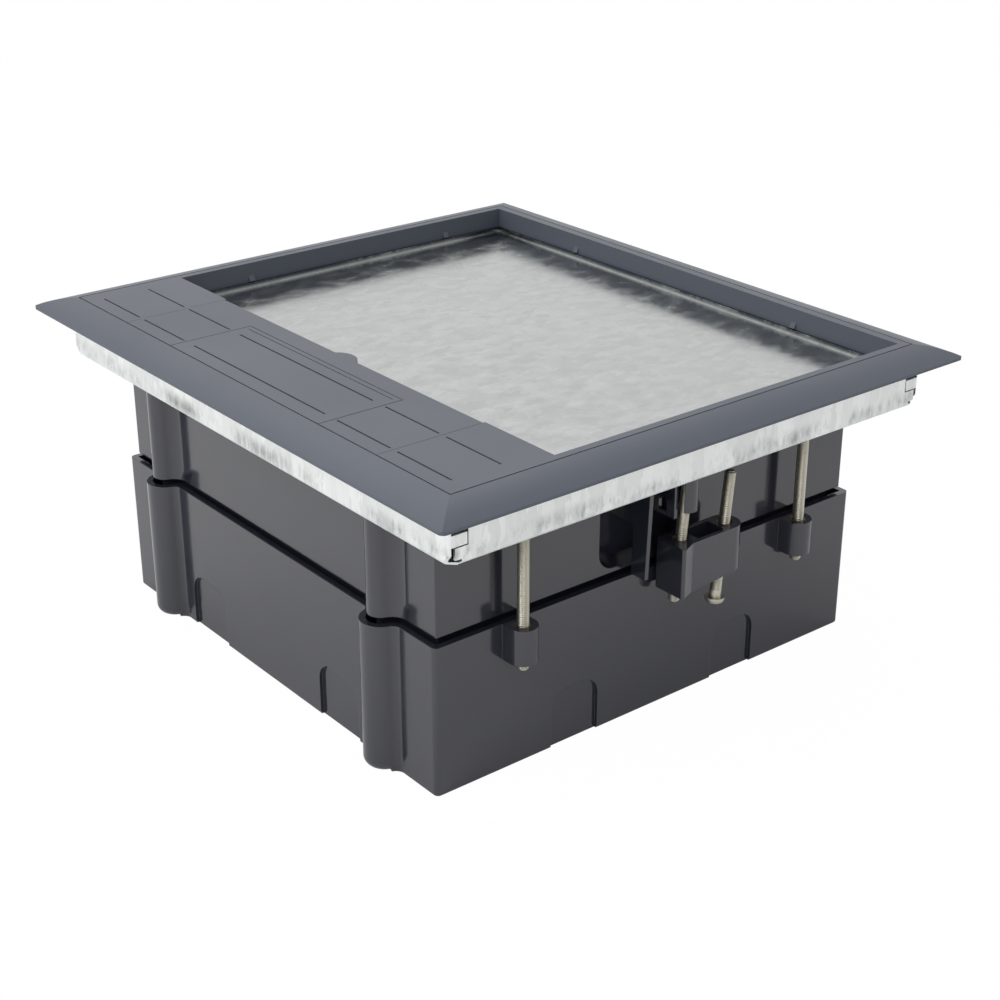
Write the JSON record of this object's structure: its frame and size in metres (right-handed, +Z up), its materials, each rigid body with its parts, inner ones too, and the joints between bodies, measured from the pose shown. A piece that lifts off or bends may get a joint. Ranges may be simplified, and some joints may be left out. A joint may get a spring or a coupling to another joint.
{
  "type": "floor socket box",
  "caption": "Height-adjustable socket box for a raised access floor, with hinged lid, cable cover and screw clamps.",
  "frame": {"origin": "middle of the underside of the lower box", "axes": "+Z up, +Y along the long side of the bezel, -X towards the cable covers, +X towards the lid hinge"},
  "size_m": [0.28, 0.3124, 0.1411],
  "materials": {
    "anthracite_top": "textured",
    "anthracite_box": "gloss",
    "galvanised": "galvanised",
    "zinc_steel": "zinc plated",
    "brass": "turned",
    "rubber": "matt",
    "carrier_plastic": "moulded",
    "module_white": "gloss"
  },
  "bodies": {
    "lower": {"lower_box": "anthracite_box", "boss_inserts": "brass"},
    "upper": {"bezel_frame": "anthracite_top", "lid_gasket": "rubber", "steel_tray": "galvanised", "flange_screws": "zinc_steel", "upper_box": "anthracite_box", "power_carrier": "carrier_plastic", "data_carrier": "carrier_plastic", "power_module_1": "module_white", "power_module_2": "module_white", "power_module_3": "module_white", "power_module_4": "module_white", "data_module_1": "module_white", "data_module_2": "module_white", "data_module_3": "module_white", "data_module_4": "module_white", "carrier_screws": "zinc_steel", "divider_plate": "galvanised", "earth_terminal": "brass", "terminal_screws": "zinc_steel", "lid_hinge_pins": "zinc_steel"},
    "adjusting_screw_1": {"adjust_screw_1": "zinc_steel", "screw_clip_1": "zinc_steel"},
    "adjusting_screw_2": {"adjust_screw_2": "zinc_steel", "screw_clip_2": "zinc_steel"},
    "adjusting_screw_3": {"adjust_screw_3": "zinc_steel", "screw_clip_3": "zinc_steel"},
    "adjusting_screw_4": {"adjust_screw_4": "zinc_steel", "screw_clip_4": "zinc_steel"},
    "clamp_front": {"clamp_block_front": "anthracite_box", "clamp_inserts_front": "brass"},
    "clamp_drive_front": {"clamp_drive_screw_front": "zinc_steel"},
    "clamp_pusher_front": {"clamp_pusher_screw_front": "zinc_steel"},
    "clamp_rear": {"clamp_block_rear": "anthracite_box", "clamp_inserts_rear": "brass"},
    "clamp_drive_rear": {"clamp_drive_screw_rear": "zinc_steel"},
    "clamp_pusher_rear": {"clamp_pusher_screw_rear": "zinc_steel"},
    "lid": {"lid_frame": "anthracite_top", "lid_steel_insert": "galvanised", "cable_cover_pins": "zinc_steel", "lid_handle_pin": "zinc_steel"},
    "cover": {"cable_cover": "anthracite_top"},
    "handle": {"lid_handle": "anthracite_top"}
  },
  "joints": [
    {"name": "height_slide", "type": "slide", "parent": "lower", "child": "upper", "axis": [0, 0, 1], "range_m": [-0.022, 0.01]},
    {"name": "adjust_turn_1", "type": "hinge", "parent": "upper", "child": "adjusting_screw_1", "pos_m": [-0.0776, -0.1245, 0.1], "axis": [0, 0, 1], "range_deg": [-9950, 4550]},
    {"name": "adjust_turn_2", "type": "hinge", "parent": "upper", "child": "adjusting_screw_2", "pos_m": [0.0776, -0.1245, 0.1], "axis": [0, 0, 1], "range_deg": [-9950, 4550]},
    {"name": "adjust_turn_3", "type": "hinge", "parent": "upper", "child": "adjusting_screw_3", "pos_m": [0.0776, 0.1245, 0.1], "axis": [0, 0, 1], "range_deg": [-9950, 4550]},
    {"name": "adjust_turn_4", "type": "hinge", "parent": "upper", "child": "adjusting_screw_4", "pos_m": [-0.0776, 0.1245, 0.1], "axis": [0, 0, 1], "range_deg": [-9950, 4550]},
    {"name": "clamp_slide_front", "type": "slide", "parent": "upper", "child": "clamp_front", "axis": [0.0958, 0, 0.9954], "range_m": [-0.005, 0.006]},
    {"name": "clamp_turn_front", "type": "hinge", "parent": "upper", "child": "clamp_drive_front", "pos_m": [0.0028, -0.128, 0.081], "axis": [0.0958, 0, 0.9954], "range_deg": [-2750, 2300]},
    {"name": "pusher_slide_front", "type": "slide", "parent": "clamp_front", "child": "clamp_pusher_front", "axis": [0.0958, 0, 0.9954], "range_m": [-0.005, 0.004]},
    {"name": "clamp_slide_rear", "type": "slide", "parent": "upper", "child": "clamp_rear", "axis": [-0.0958, 0, 0.9954], "range_m": [-0.005, 0.006]},
    {"name": "clamp_turn_rear", "type": "hinge", "parent": "upper", "child": "clamp_drive_rear", "pos_m": [-0.0028, 0.128, 0.081], "axis": [-0.0958, 0, 0.9954], "range_deg": [-2750, 2300]},
    {"name": "pusher_slide_rear", "type": "slide", "parent": "clamp_rear", "child": "clamp_pusher_rear", "axis": [-0.0958, 0, 0.9954], "range_m": [-0.005, 0.004]},
    {"name": "lid_hinge", "type": "hinge", "parent": "upper", "child": "lid", "pos_m": [0.112, 0, 0.1386], "axis": [0, 1, 0], "range_deg": [0, 105]},
    {"name": "cover_hinge", "type": "hinge", "parent": "lid", "child": "cover", "pos_m": [-0.0746, 0, 0.1396], "axis": [0, 1, 0], "range_deg": [0, 80]},
    {"name": "handle_hinge", "type": "hinge", "parent": "lid", "child": "handle", "pos_m": [-0.0874, 0, 0.138], "axis": [0, 1, 0], "range_deg": [0, 70]}
  ],
  "couplings": [
    {"joint": "adjust_turn_1", "follows": "height_slide", "rad_per_m": 7854},
    {"joint": "adjust_turn_2", "follows": "height_slide", "rad_per_m": 7854},
    {"joint": "adjust_turn_3", "follows": "height_slide", "rad_per_m": 7854},
    {"joint": "adjust_turn_4", "follows": "height_slide", "rad_per_m": 7854},
    {"joint": "clamp_turn_front", "follows": "clamp_slide_front", "rad_per_m": -7854},
    {"joint": "clamp_turn_rear", "follows": "clamp_slide_rear", "rad_per_m": -7854}
  ]
}
